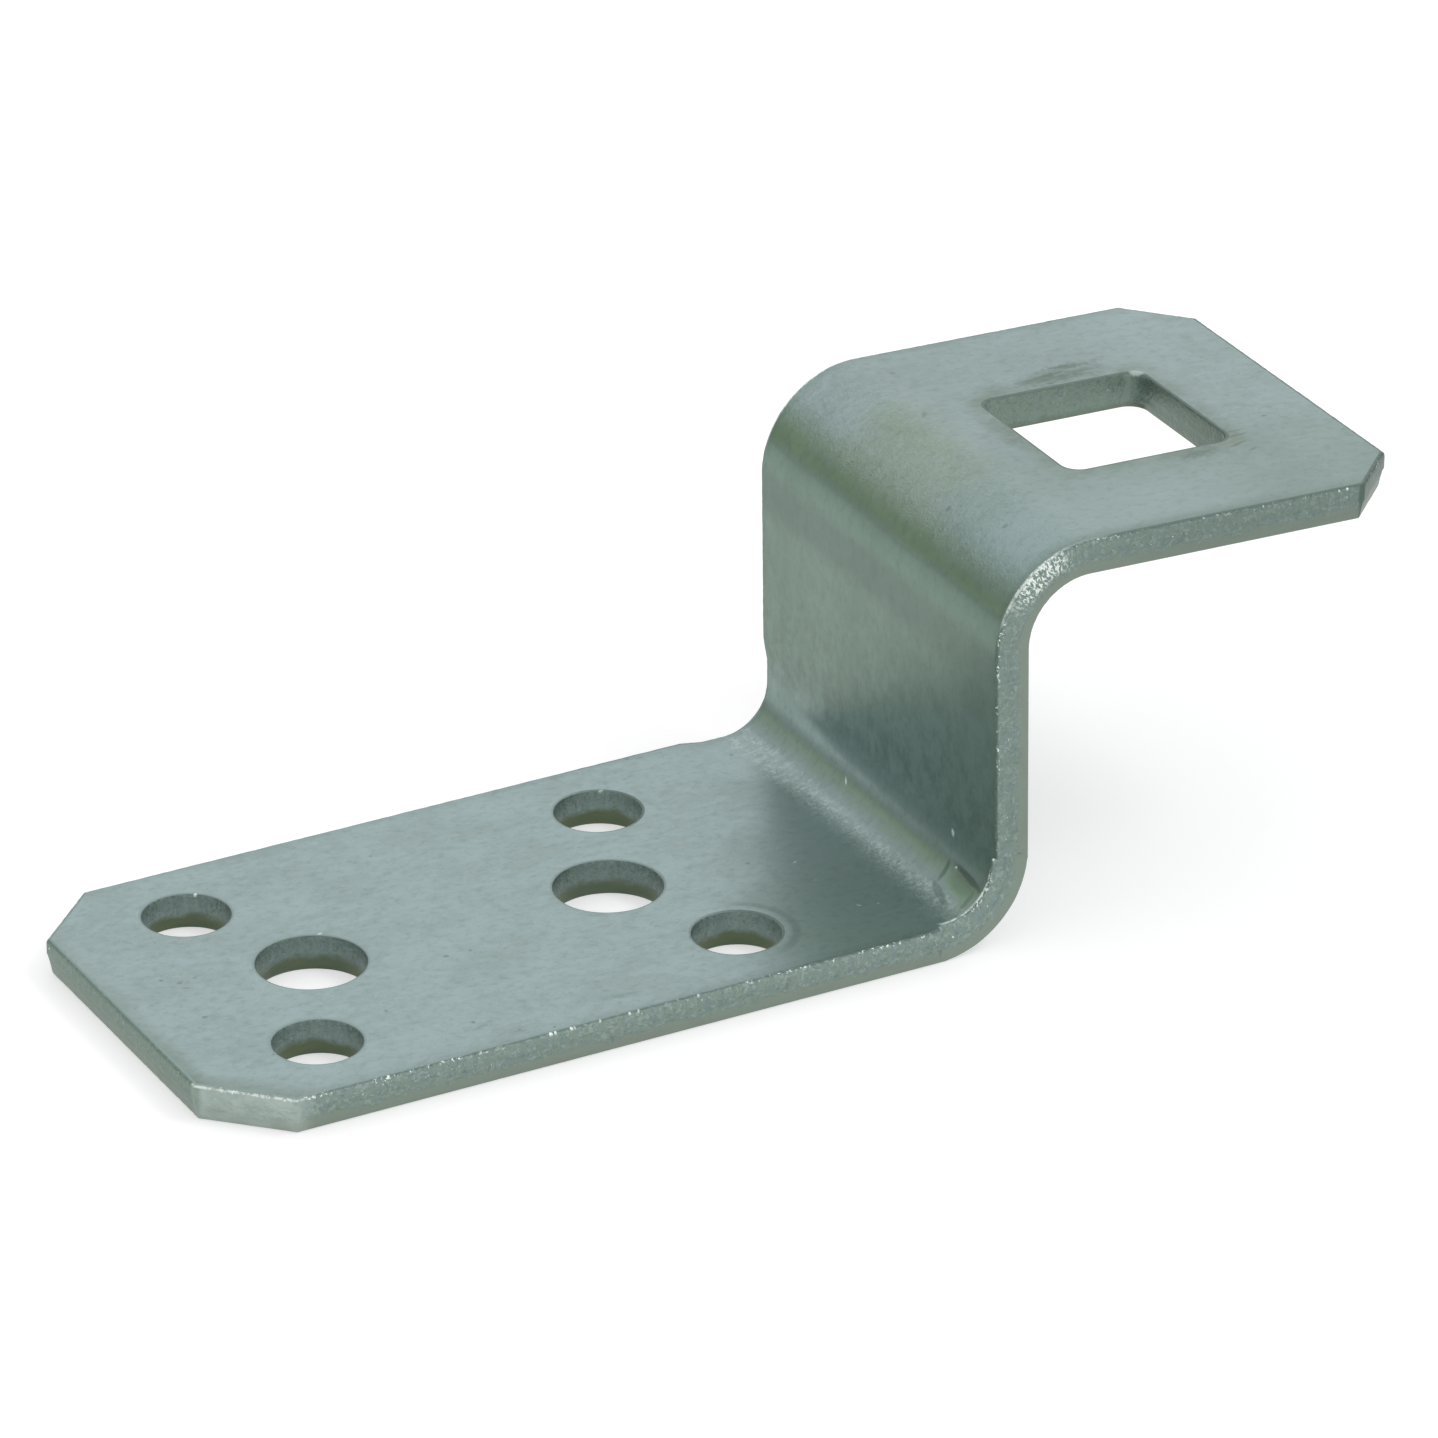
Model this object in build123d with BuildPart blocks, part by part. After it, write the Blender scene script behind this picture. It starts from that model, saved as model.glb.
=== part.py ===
"""Z bracket folded from one length of flat steel strip.

Millimetres. +X runs along the bracket from the base's free end to the ledge's free end, +Y across the
strip and +Z up. The origin is the centre of the base's screw holes, on its underside.
"""

import os
from math import cos, radians, sin, tan

from build123d import *

# Flat strip that the bracket is cut from
strip_width = 50.0
strip_thickness = 4.0

# Base: the lower flange, from its free end to the web's right face
base_length = 90.2
base_corner = 7.6

# Web: from the base's underside to the ledge's upper face, at the corner where web and ledge would cross
web_height = 44.1

# Ledge: the upper flange, from the web's left face to its free end, and how far it is folded past square
ledge_length = 48.9
ledge_corner = 6.1
ledge_droop = 2.2

# Bends: the lower one is pressed round a small punch and stays slacker outside, where the strip thins
lower_inside_radius = 5.2
lower_outside_radius = 10.4
upper_inside_radius = 6.7
upper_outside_radius = 10.8

# Screw holes of the base: four small ones on a rectangle and two large ones on the centre line
small_hole_diameter = 9.0
small_hole_spacing_x = 47.0
small_hole_spacing_y = 30.5
small_hole_to_end = 14.6
large_hole_diameter = 11.2
large_hole_spacing = 33.6

# Square hole of the ledge
square_side = 19.0
square_corner_radius = 2.0
square_to_end = 22.1

# Rims of the cuts: the shear and the punches pull in the side that faces up and left, and the strip's
# edges break away towards the other side
pulled_rim_radius = 0.5
broken_rim_radius = 0.6
hole_rim_radius = 0.3

# Bend reliefs: both edges of the strip are pared back where the lower bend swells as it is pressed. A paring
# is deepest on the fold's inside, runs out on its outside, and eases in over the lead on base and web.
front_relief_depth = 1.1
front_relief_reach = 1.2
front_relief_lead = 0.3
back_relief_depth = 0.8
back_relief_reach = 4.8
back_relief_lead = 2.2

# Places along the strip, from the origin
base_end = -small_hole_spacing_x / 2 - small_hole_to_end
web_right = base_end + base_length
web_left = web_right - strip_thickness
bend_centre_x = web_left - lower_inside_radius
bend_centre_z = strip_thickness + lower_inside_radius

# The ledge's faces: local x runs along the ledge from the web's left face, local z points out of its top
droop = radians(ledge_droop)
ledge_top = Plane(
    origin=(web_left, 0, web_height),
    x_dir=(cos(droop), 0, -sin(droop)),
    z_dir=(sin(droop), 0, cos(droop)),
)
ledge_underside = ledge_top.offset(-strip_thickness)
underside_corner_z = web_height - strip_thickness * (1 / cos(droop) + tan(droop))


def outline_of(faces):
    """Return the edges that only one of the faces has, which bound the skin that the faces make."""
    edges = ShapeList([edge for face in faces for edge in face.edges()])
    return ShapeList([edge for edge in edges if sum(edge.is_same(other) for other in edges) == 1])


def place_in_section(point):
    """Return a point of the model in the coordinates of the section's sketch."""
    return (point.X, point.Z)


with BuildPart() as bracket:
    # The section is the whole fold seen from the front: an upper and a lower side, each with both bends
    with BuildSketch(Plane.XZ) as section:
        with BuildLine():
            ledge_tip = place_in_section(ledge_top.from_local_coords((ledge_length, 0, 0)))
            ledge_heel = place_in_section(ledge_underside.from_local_coords((ledge_length, 0, 0)))
            upper_side = FilletPolyline(
                (base_end, strip_thickness),
                (web_left, strip_thickness),
                (web_left, web_height),
                ledge_tip,
                radius=(lower_inside_radius, upper_outside_radius),
            )
            lower_side = FilletPolyline(
                (base_end, 0),
                (web_right, 0),
                (web_right, underside_corner_z),
                ledge_heel,
                radius=(lower_outside_radius, upper_inside_radius),
            )
            Line(upper_side @ 0, lower_side @ 0)
            Line(upper_side @ 1, lower_side @ 1)
        make_face()
    extrude(amount=strip_width / 2, both=True)

    # Corners cropped off both free ends
    base_corners = bracket.edges().filter_by(Axis.Z).group_by(Axis.X)[0]
    chamfer(base_corners, base_corner)
    ledge_corners = bracket.edges().filter_by(Axis((0, 0, 0), ledge_top.z_dir)).group_by(Axis.X)[-1]
    chamfer(ledge_corners, ledge_corner)

    # The sheared edge is rounded all the way round the strip, on both of its sides
    for side, radius in ((upper_side, pulled_rim_radius), (lower_side, broken_rim_radius)):
        skin = [
            bracket.faces().sort_by_distance(Plane.XZ.from_local_coords(edge @ 0.5))[0]
            for edge in side.edges()
        ]
        fillet(outline_of(skin), radius)

    # Bend reliefs: a wedge is pared off each edge along the base, round the lower bend and up the web
    wedge_plane = Plane(origin=(bend_centre_x, 0, bend_centre_z), x_dir=(0, 1, 0), z_dir=(1, 0, 0))
    fold_axis = Axis(wedge_plane.origin, (0, -1, 0))
    fold_diagonal = Plane(origin=wedge_plane.origin, x_dir=(0, 1, 0), z_dir=(1, 0, 1))
    clear = 1.0
    inside_of_fold = -lower_inside_radius + clear
    outside_of_fold = -lower_inside_radius - strip_thickness - clear
    for side, depth, reach, lead in (
        (-1, front_relief_depth, front_relief_reach, front_relief_lead),
        (1, back_relief_depth, back_relief_reach, back_relief_lead),
    ):
        edge_y = side * strip_width / 2
        slope = side * depth / strip_thickness
        with BuildPart(mode=Mode.PRIVATE) as paring:
            with BuildSketch(wedge_plane) as wedge:
                with BuildLine():
                    Polyline(
                        (edge_y - slope * (strip_thickness + clear), inside_of_fold),
                        (edge_y + slope * clear, outside_of_fold),
                        (edge_y + side * clear, outside_of_fold),
                        (edge_y + side * clear, inside_of_fold),
                        close=True,
                    )
                make_face()
            extrude(amount=-reach)
            with BuildSketch(Plane.XY.offset(-2 * clear)):
                with BuildLine():
                    Polyline(
                        (bend_centre_x - reach, edge_y),
                        (bend_centre_x - reach + 2 * lead, edge_y - 2 * side * depth),
                        (bend_centre_x + 2 * lead, edge_y - 2 * side * depth),
                        (bend_centre_x + 2 * lead, edge_y + 2 * side * clear),
                        (bend_centre_x - reach, edge_y + 2 * side * clear),
                        close=True,
                    )
                make_face()
            extrude(amount=bend_centre_z, mode=Mode.INTERSECT)
            mirror(about=fold_diagonal)
            revolve(wedge.sketch, axis=fold_axis, revolution_arc=90)
        add(paring.part, mode=Mode.SUBTRACT)

    # Screw holes, punched from the upper face of the base
    with Locations(Plane.XY.offset(strip_thickness)):
        with GridLocations(small_hole_spacing_x, small_hole_spacing_y, 2, 2):
            Hole(small_hole_diameter / 2, depth=strip_thickness)
        with GridLocations(large_hole_spacing, 0, 2, 1):
            Hole(large_hole_diameter / 2, depth=strip_thickness)
    base_top = bracket.faces().sort_by_distance((0, 0, strip_thickness))[0]
    fillet(base_top.inner_wires().edges(), hole_rim_radius)

    # Square hole, punched from the upper face of the ledge
    square_centre = ledge_top.from_local_coords((ledge_length - square_to_end, 0, 0))
    with BuildSketch(Plane(origin=square_centre, x_dir=ledge_top.x_dir, z_dir=ledge_top.z_dir)):
        RectangleRounded(square_side, square_side, square_corner_radius)
    extrude(amount=-strip_thickness, mode=Mode.SUBTRACT)
    ledge_skin = bracket.faces().filter_by(ledge_top).sort_by(Axis.Z)[-1]
    fillet(ledge_skin.inner_wires().edges(), hole_rim_radius)

bracket.part.label = "bracket"

os.makedirs("parts", exist_ok=True)
export_step(bracket.part, "parts/bracket.step")
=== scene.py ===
"""Z bracket of zinc-plated steel strip, sheared, punched and folded twice, on a pale studio floor.

The strip is drawn flat, as it lies before it is folded, at a thousand times its size, so that one unit is one
millimetre. There x runs along the strip from the base's free end, y across it and z up. The base's upper side
is at z = 0 and its lower one at z = -4. The fold and the step to metres come last.
"""

import logging
import math
from dataclasses import dataclass
from enum import Enum
from functools import reduce
from typing import Callable, Optional, Sequence

import bmesh
import bpy
from mathutils import Matrix, Vector


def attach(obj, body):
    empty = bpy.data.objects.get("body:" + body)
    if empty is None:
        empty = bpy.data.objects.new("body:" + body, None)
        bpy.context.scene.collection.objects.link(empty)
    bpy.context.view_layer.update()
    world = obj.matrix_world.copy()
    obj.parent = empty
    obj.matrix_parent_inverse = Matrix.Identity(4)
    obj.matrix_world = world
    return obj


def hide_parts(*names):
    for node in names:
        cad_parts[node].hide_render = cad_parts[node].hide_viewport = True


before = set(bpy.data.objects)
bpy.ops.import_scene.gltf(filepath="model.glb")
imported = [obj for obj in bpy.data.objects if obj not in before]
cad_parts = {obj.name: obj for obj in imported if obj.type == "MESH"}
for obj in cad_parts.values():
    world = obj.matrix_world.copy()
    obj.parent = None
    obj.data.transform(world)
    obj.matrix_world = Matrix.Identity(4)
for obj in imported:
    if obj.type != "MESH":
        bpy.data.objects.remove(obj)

log = logging.getLogger("z_bracket")

Socket = bpy.types.NodeSocket
Finishes = dict[str, bpy.types.Material]
Triple = tuple[float, float, float]
Test = Callable[[Vector, object], bool]

FLAT_PLACE = "flat_place"
TORN = "torn"
TEAR_LINE = "tear_line"
RIM = "rim"
ORIGIN = (0.0, 0.0, 0.0)
WHITE = (1.0, 1.0, 1.0, 1.0)
TO_METRES = 0.001
SMOOTH_ANGLE = math.radians(38.0)

# Centres of the small hole ringed with painted light and shade and of the square hole, on the flat strip
RING_CENTRE = (61.6, -15.25, 0.0)
SQUARE_CENTRE = (145.804, 0.0, 0.0)

# What counts as the same place, how far apart points along a rim are, and the least between two cuts
NEAR = 0.002
MERGED = 0.0005
RIM_SPACING = 0.36
LEAST_SPACING = 0.04

# The shortest edge that is divided, the smallest face that is a whole flange, and what counts as level
LONG_EDGE = 0.6
FLANGE_AREA = 100.0
LEVEL = 0.9

# How far in the sheared edge and a relief reach, and how far down the rim and beside the tear line marks go
OUTLINE_REACH = 2.0
EDGE_DEPTH = 1.0
RIM_DEPTH = 0.6
TEAR_REACH = 0.15

# How far past the lower bend the strip is thinned, in radians, and by how much just beside it
THINNED_PAST = 0.2
THINNED_BESIDE = 0.07


class Side(Enum):
    """The two broad sides of the strip, by the height at which the flat strip has them."""

    UPPER = 0.0
    LOWER = -4.0


class Pattern(Enum):
    """Kinds of procedural pattern that a finish draws from."""

    NOISE = "ShaderNodeTexNoise"
    CELLS = "ShaderNodeTexVoronoi"


@dataclass(frozen=True)
class Ring:
    """One line of a cut's wall, going round the outline or the hole.

    Attributes:
        height: Height in the flat strip, from 0 on the upper side to -4 on the lower side.
        back: How far the wall has drawn back into the metal there.
    """

    height: float
    back: float


@dataclass(frozen=True)
class StripSizes:
    """Sizes of the flat strip and of its folds, in millimetres."""

    width: float = 50.0
    thickness: float = 4.0
    length: float = 167.904
    base_corner: float = 7.6
    ledge_corner: float = 6.1
    base_end: float = -38.1
    lower_bend_from: float = 81.0
    lower_bend_to: float = 89.168
    upper_bend_from: float = 112.848
    upper_bend_to: float = 130.227
    lower_inside_radius: float = 5.2
    lower_outside_radius: float = 10.4
    upper_outside_radius: float = 10.8
    ledge_droop: float = math.radians(2.2)
    bend_cuts: int = 30


MIDDLES = {
    "verts": lambda vertex: vertex.co,
    "edges": lambda edge: (edge.verts[0].co + edge.verts[1].co) / 2,
    "faces": lambda face: face.calc_center_median(),
}


def pick(piece: bpy.types.Object, kind: str, test: Test) -> None:
    """Select, in edit mode, the elements of one kind whose place passes a test, and nothing else.

    Args:
        piece: The object being edited.
        kind: "verts", "edges" or "faces".
        test: Takes an element's middle and the element, and says whether it is selected.
    """
    bpy.ops.mesh.select_mode(type=kind[:-1].upper())
    bpy.ops.mesh.select_all(action="DESELECT")
    sheet = bmesh.from_edit_mesh(piece.data)
    for item in getattr(sheet, kind):
        if test(MIDDLES[kind](item), item):
            item.select_set(True)
    sheet.select_flush_mode()
    bmesh.update_edit_mesh(piece.data)


def take(*pieces: bpy.types.Object) -> None:
    """Select these objects alone, and make the last of them active.

    Args:
        *pieces: The objects, none of them to leave nothing selected.
    """
    bpy.ops.object.select_all(action="DESELECT")
    for piece in pieces:
        piece.select_set(True)
        bpy.context.view_layer.objects.active = piece


def edit(on: bool) -> None:
    """Go into edit mode, or out of it."""
    bpy.ops.object.mode_set(mode="EDIT" if on else "OBJECT")


def start_piece(name: str) -> bpy.types.Object:
    """Name the primitive that was just added, and leave it in edit mode.

    Args:
        name: The name of the object and its mesh.

    Returns:
        The object.
    """
    piece = bpy.context.object
    piece.name = name
    piece.data.name = name
    edit(True)
    return piece


def move(x: float, y: float, z: float) -> None:
    """Move what is selected."""
    bpy.ops.transform.translate(value=(x, y, z))


def stretch(x: float, y: float, z: float, about: Triple = ORIGIN) -> None:
    """Scale what is selected about a point."""
    bpy.ops.transform.resize(value=(x, y, z), center_override=about)


def is_open(edge: object) -> bool:
    """Say whether an edge has a face on one side only, or none."""
    return len(edge.link_faces) < 2


def is_level(face: object) -> bool:
    """Say whether a face lies flat in the strip."""
    return abs(face.normal.z) > LEVEL


def is_at(place: Vector, height: float) -> bool:
    """Say whether a place of the flat strip is at a height."""
    return abs(place.z - height) < NEAR


@dataclass(frozen=True)
class CutWall:
    """The wall that a shear or a punch leaves: a rim drawn in, a smooth land, and below it torn metal."""

    drawn_rim: Sequence[Ring]
    land_to: float
    torn_rim: Sequence[Ring]

    def rings(self) -> list[Ring]:
        """Return the whole wall, from the upper side to the lower one."""
        return [*reversed(self.drawn_rim), Ring(self.land_to, 0.0), *self.torn_rim]


@dataclass
class PunchedHole:
    """One kind of hole, modelled once as an open tube that flares at both rims, and copied to its places.

    Attributes:
        name: The name of the kind.
        centres: Places along and across the strip.
        half: Radius of a round hole, or half the side of a square one.
        wall: The wall that the punch leaves.
        finish: The name of the wall's finish.
        segments: Flats round a round hole, or round each corner of a square one.
        corner: Corner radius of a square hole.
    """

    name: str
    centres: Sequence[tuple[float, float]]
    half: float
    wall: CutWall
    finish: str
    segments: int
    corner: float = 0.0

    def draw(self) -> bpy.types.Object:
        """Draw the hole's outline round the origin.

        Returns:
            The outline, in edit mode.
        """
        take()
        if not self.corner:
            bpy.ops.mesh.primitive_circle_add(vertices=self.segments, radius=self.half)
            return start_piece(self.name)
        bpy.ops.mesh.primitive_plane_add(size=2 * self.half, location=ORIGIN)
        outline = start_piece(self.name)
        bpy.ops.mesh.bevel(offset=self.corner, affect="VERTICES", segments=self.segments)
        straight = 2 * (self.half - self.corner)
        for side in range(4):
            turn = side * math.pi / 2
            out = Vector((math.cos(turn), math.sin(turn), 0.0)) * self.half
            pick(outline, "edges", lambda mid, _: (mid - out).length < self.corner / 2)
            bpy.ops.mesh.subdivide(number_cuts=int(straight / RIM_SPACING))
        bpy.ops.mesh.select_all(action="SELECT")
        bpy.ops.mesh.delete(type="ONLY_FACE")
        return outline

    def model(self) -> bpy.types.Object:
        """Model the tube round the origin.

        Returns:
            The tube, out of edit mode.
        """
        tube = self.draw()
        rings = self.wall.rings()
        bpy.ops.mesh.select_all(action="SELECT")
        grown = (self.half + rings[0].back) / self.half
        stretch(grown, grown, 1.0)
        move(0.0, 0.0, rings[0].height)
        for above, ring in zip(rings, rings[1:]):
            drop = (0.0, 0.0, ring.height - above.height)
            bpy.ops.mesh.extrude_edges_move(TRANSFORM_OT_translate={"value": drop})
            grown = (self.half + ring.back) / (self.half + above.back)
            stretch(grown, grown, 1.0)
        edit(False)
        return tube

    def punch(self, finishes: Finishes) -> list[bpy.types.Object]:
        """Make one tube for each place.

        Args:
            finishes: The materials by name, among them the hole's own.

        Returns:
            The tubes, each with its own mesh.
        """
        tube = self.model()
        tube.data.materials.append(finishes[self.finish])
        tubes = []
        for x, y in self.centres:
            copy = tube.copy()
            copy.data = tube.data.copy()
            copy.location = (x, y, 0.0)
            bpy.context.scene.collection.objects.link(copy)
            tubes.append(copy)
        bpy.data.objects.remove(tube)
        log.info("%s: %d punched, %.1f mm across", self.name, len(tubes), 2 * self.half)
        return tubes


@dataclass(frozen=True)
class Relief:
    """A paring off one edge where the lower bend swells: deepest inside the fold, and none outside it.

    Attributes:
        side: -1 for the front edge and 1 for the back one.
        depth: How much is pared off at the deepest.
        reach: How far it goes past the bend, both ways.
        lead: The length over which it deepens.
    """

    side: int
    depth: float
    reach: float
    lead: float

    def stations(self, sizes: StripSizes) -> list[float]:
        """Find the places along the strip where the paring changes direction.

        Args:
            sizes: Sizes of the strip.

        Returns:
            Where it starts, where it is full, how far it stays so, and where it ends.
        """
        start = sizes.lower_bend_from - self.reach
        end = sizes.lower_bend_to + self.reach
        return [start, start + self.lead, end - self.lead, end]

    def share_at(self, sizes: StripSizes, x: float, height: float) -> float:
        """Work out which share of the full depth is pared off at a place.

        Args:
            sizes: Sizes of the strip.
            x: The place along the strip.
            height: The place's height in it.

        Returns:
            The share, from 0 to 1.
        """
        start, full, last, end = self.stations(sizes)
        if not start < x < end:
            return 0.0
        along = min(1.0, (x - start) / (full - start), (end - x) / (end - last))
        return along * (1.0 + height / sizes.thickness)


@dataclass
class FoldedStrip:
    """The whole bracket: one length of strip, sheared and punched flat, then folded twice.

    Attributes:
        sizes: Sizes of the strip and its folds.
        edge: The wall that the shear leaves all round the strip.
        reliefs: The nicks beside the lower bend.
        holes: The kinds of hole, with their places.
        piece: The strip's object, once it is sheared.
    """

    sizes: StripSizes
    edge: CutWall
    reliefs: Sequence[Relief]
    holes: Sequence[PunchedHole]
    piece: Optional[bpy.types.Object] = None

    def stations(self) -> list[float]:
        """Find the places along the strip where it is divided across, so that it can fold.

        Returns:
            The places, in order.
        """
        s = self.sizes
        places = {place for relief in self.reliefs for place in relief.stations(s)}
        for start, end in ((s.lower_bend_from, s.lower_bend_to), (s.upper_bend_from, s.upper_bend_to)):
            step = (end - start) / s.bend_cuts
            places.update(start + step * i for i in range(s.bend_cuts + 1))
            places.add(end)
        ordered = sorted(places)
        kept = ordered[:1]
        for place in ordered[1:]:
            if place - kept[-1] > LEAST_SPACING:
                kept.append(place)
        return kept

    def shear(self) -> None:
        """Cut the flat outline: the strip, its cropped corners and the places of its folds."""
        s = self.sizes
        take()
        bpy.ops.mesh.primitive_plane_add(size=1.0, location=ORIGIN)
        self.piece = start_piece("folded_strip")
        stretch(s.length, s.width, 1.0)
        move(s.length / 2, 0.0, 0.0)
        for at_end, crop in ((0.0, s.base_corner), (s.length, s.ledge_corner)):
            pick(self.piece, "verts", lambda mid, _: abs(mid.x - at_end) < NEAR)
            bpy.ops.mesh.bevel(offset=crop, affect="VERTICES")
        for place in self.stations():
            bpy.ops.mesh.select_all(action="SELECT")
            bpy.ops.mesh.bisect(plane_co=(place, 0.0, 0.0), plane_no=(1.0, 0.0, 0.0))
        self.divide_outline()

    def divide_outline(self) -> None:
        """Divide the long edges of the outline, so that its torn metal has something to be rough with."""
        sheet = bmesh.from_edit_mesh(self.piece.data)
        long_edges = [
            (MIDDLES["edges"](edge), edge.calc_length())
            for edge in sheet.edges
            if is_open(edge) and edge.calc_length() > LONG_EDGE
        ]
        for place, length in long_edges:
            pick(self.piece, "edges", lambda mid, item: is_open(item) and (mid - place).length < NEAR)
            bpy.ops.mesh.subdivide(number_cuts=max(1, round(length / RIM_SPACING) - 1))

    def shape_edge(self) -> None:
        """Give the outline its thickness and the wall that the shear leaves."""
        drawn = self.edge.drawn_rim
        bpy.ops.mesh.select_all(action="SELECT")
        move(0.0, 0.0, drawn[0].height)
        drop = (0.0, 0.0, self.edge.land_to - drawn[0].height)
        bpy.ops.mesh.extrude_region_move(TRANSFORM_OT_translate={"value": drop})
        bpy.ops.mesh.select_all(action="SELECT")
        bpy.ops.mesh.normals_make_consistent(inside=False)
        for above, rings in ((drawn[0], drawn[1:]), (Ring(self.edge.land_to, 0.0), self.edge.torn_rim)):
            for ring in rings:
                height = above.height
                pick(self.piece, "faces", lambda mid, item: is_at(mid, height) and is_level(item))
                bpy.ops.mesh.inset(thickness=max(NEAR, ring.back - above.back), use_even_offset=True)
                move(0.0, 0.0, ring.height - above.height)
                above = ring

    def open_flanges(self) -> None:
        """Take the flat skins off the base and the ledge, where the holes go."""
        base_until = self.stations()[0] + NEAR
        ledge_from = self.sizes.upper_bend_to - NEAR

        def is_flange(face: object) -> bool:
            """Say whether a face is the whole flat skin of the base or the ledge."""
            places = [vertex.co.x for vertex in face.verts]
            return face.calc_area() > FLANGE_AREA and (max(places) < base_until or min(places) > ledge_from)

        for side in Side:
            pick(self.piece, "faces", lambda mid, item: is_at(mid, side.value) and is_flange(item))
            bpy.ops.mesh.delete(type="ONLY_FACE")

    def join_holes(self, finishes: Finishes) -> None:
        """Join the punched walls to the strip and close the flat skins round them.

        Args:
            finishes: The materials by name, among them those of the punched walls.
        """
        edit(False)
        take(*(tube for hole in self.holes for tube in hole.punch(finishes)), self.piece)
        bpy.ops.object.join()
        edit(True)
        web = (self.sizes.lower_bend_to + self.sizes.upper_bend_from) / 2
        for height in (side.value for side in Side):
            for on_base in (True, False):
                pick(
                    self.piece,
                    "edges",
                    lambda mid, edge: is_open(edge) and is_at(mid, height) and (mid.x < web) == on_base,
                )
                bpy.ops.mesh.fill(use_beauty=True)
        bpy.ops.mesh.select_all(action="SELECT")
        bpy.ops.mesh.remove_doubles(threshold=MERGED)
        bpy.ops.mesh.normals_make_consistent(inside=False)

    def on_outline(self, place: Vector) -> bool:
        """Say whether a place is close to the outline.

        Args:
            place: The place in the flat strip.

        Returns:
            Whether it is nearer than any hole.
        """
        s = self.sizes
        inward = s.width / 2 - abs(place.y)
        from_end = s.length - place.x
        crop = min(place.x + inward - s.base_corner, from_end + inward - s.ledge_corner)
        return min(inward, place.x, from_end, crop) < OUTLINE_REACH

    def dress(self, finishes: Finishes) -> None:
        """Give the sheared edge its finish, and mark the metal that is torn, at the tear line or at the rim.

        Args:
            finishes: The materials by name, among them the sheared edge's.
        """
        found = self.piece.data.materials
        log.info("finishes on the strip: %s", found.keys())
        below_rim, above_foot = Side.UPPER.value - 0.01, Side.LOWER.value + 0.03
        land = self.edge.land_to
        pick(self.piece, "faces", lambda mid, _: above_foot < mid.z < below_rim and self.on_outline(mid))
        self.piece.active_material_index = found.find(finishes["sheared"].name)
        bpy.ops.object.material_slot_assign()
        self.mark(TORN, lambda mid, _: above_foot + 0.02 < mid.z < land - 0.02)
        self.mark(TEAR_LINE, lambda mid, _: abs(mid.z - land) < TEAR_REACH)
        self.mark(RIM, lambda mid, _: -RIM_DEPTH < mid.z < below_rim and self.on_outline(mid))

    def mark(self, name: str, test: Test) -> None:
        """Put the vertices that pass a test into a vertex group.

        Args:
            name: The group's name.
            test: Takes a vertex's place and the vertex.
        """
        group = self.piece.vertex_groups.new(name=name)
        pick(self.piece, "verts", test)
        self.piece.vertex_groups.active_index = group.index
        bpy.ops.object.vertex_group_assign()

    def remember_flat_place(self) -> None:
        """Keep where each vertex lies in the flat strip, for patterns that follow it round its folds."""
        edit(False)
        mesh = self.piece.data
        places = mesh.attributes.new(FLAT_PLACE, "FLOAT_VECTOR", "POINT")
        values = [0.0] * (3 * len(mesh.vertices))
        mesh.vertices.foreach_get("co", values)
        places.data.foreach_set("vector", values)

    def push(self, group: str, direction: str, strength: float, mid: float, clouds: object = None) -> None:
        """Push the vertices of a group out or in, by a modifier that is then applied.

        Args:
            group: The vertex group, by name.
            direction: "Y", "Z" or "NORMAL".
            strength: How far.
            mid: Where neither out nor in is, from 0 to 1.
            clouds: The texture that varies it, or none.
        """
        push = self.piece.modifiers.new(group, "DISPLACE")
        push.texture = clouds
        push.vertex_group = group
        push.direction = direction
        push.strength = strength
        push.mid_level = mid
        bpy.context.view_layer.objects.active = self.piece
        bpy.ops.object.modifier_apply(modifier=push.name)

    def roughen(self) -> None:
        """Tear the lower part of each cut, let the line above it wander, and nick the rim."""
        for group, grain, depth, direction, strength in (
            (TORN, 0.9, 3, "NORMAL", 0.07),
            (TEAR_LINE, 5.0, 2, "Z", 0.6),
            (RIM, 0.6, 2, "NORMAL", 0.07),
        ):
            clouds = bpy.data.textures.new(group, "CLOUDS")
            clouds.noise_scale = grain
            clouds.noise_depth = depth
            self.push(group, direction, strength, 0.5, clouds)

    def pare_reliefs(self) -> None:
        """Pare both edges beside the lower bend."""
        s = self.sizes
        for number, relief in enumerate(self.reliefs):
            group = self.piece.vertex_groups.new(name=f"relief_{number}")
            for vertex in self.piece.data.vertices:
                if vertex.co.y * relief.side < s.width / 2 - EDGE_DEPTH:
                    continue
                share = relief.share_at(s, vertex.co.x, vertex.co.z)
                if share > 0.0:
                    group.add([vertex.index], min(1.0, share), "REPLACE")
            self.push(group.name, "Y", -relief.side * relief.depth, 0.0)

    def thin_at_bend(self) -> None:
        """Thin the strip where the lower bend stretches it, so that it is slacker outside than inside."""
        s = self.sizes
        start, end, outside = s.lower_bend_from, s.lower_bend_to, s.lower_outside_radius
        unthinned = s.lower_inside_radius + s.thickness
        shift = outside - s.lower_inside_radius - s.thickness
        edit(True)
        for place in self.stations():
            turn = (place - start) / s.lower_inside_radius
            if place < start:
                turn = math.atan2(place - start, unthinned)
            if place > end:
                turn = math.pi / 2 + math.atan2(place - end, unthinned)
            if not -THINNED_PAST < turn < math.pi / 2 + THINNED_PAST:
                continue
            toward = -shift * (math.sin(turn) + math.cos(turn))
            reach = toward + math.sqrt(outside ** 2 - 2 * shift ** 2 + toward ** 2)
            if place < start or place > end:
                off = min(abs(place - start), abs(place - end))
                reach = unthinned - THINNED_BESIDE * max(0.0, 1 - off / shift) ** 2
            thinner = (reach - s.lower_inside_radius) / s.thickness
            pick(self.piece, "verts", lambda mid, _: abs(mid.x - place) < 5 * NEAR)
            stretch(1.0, 1.0, thinner, (place, 0.0, 0.0))
        edit(False)

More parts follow.
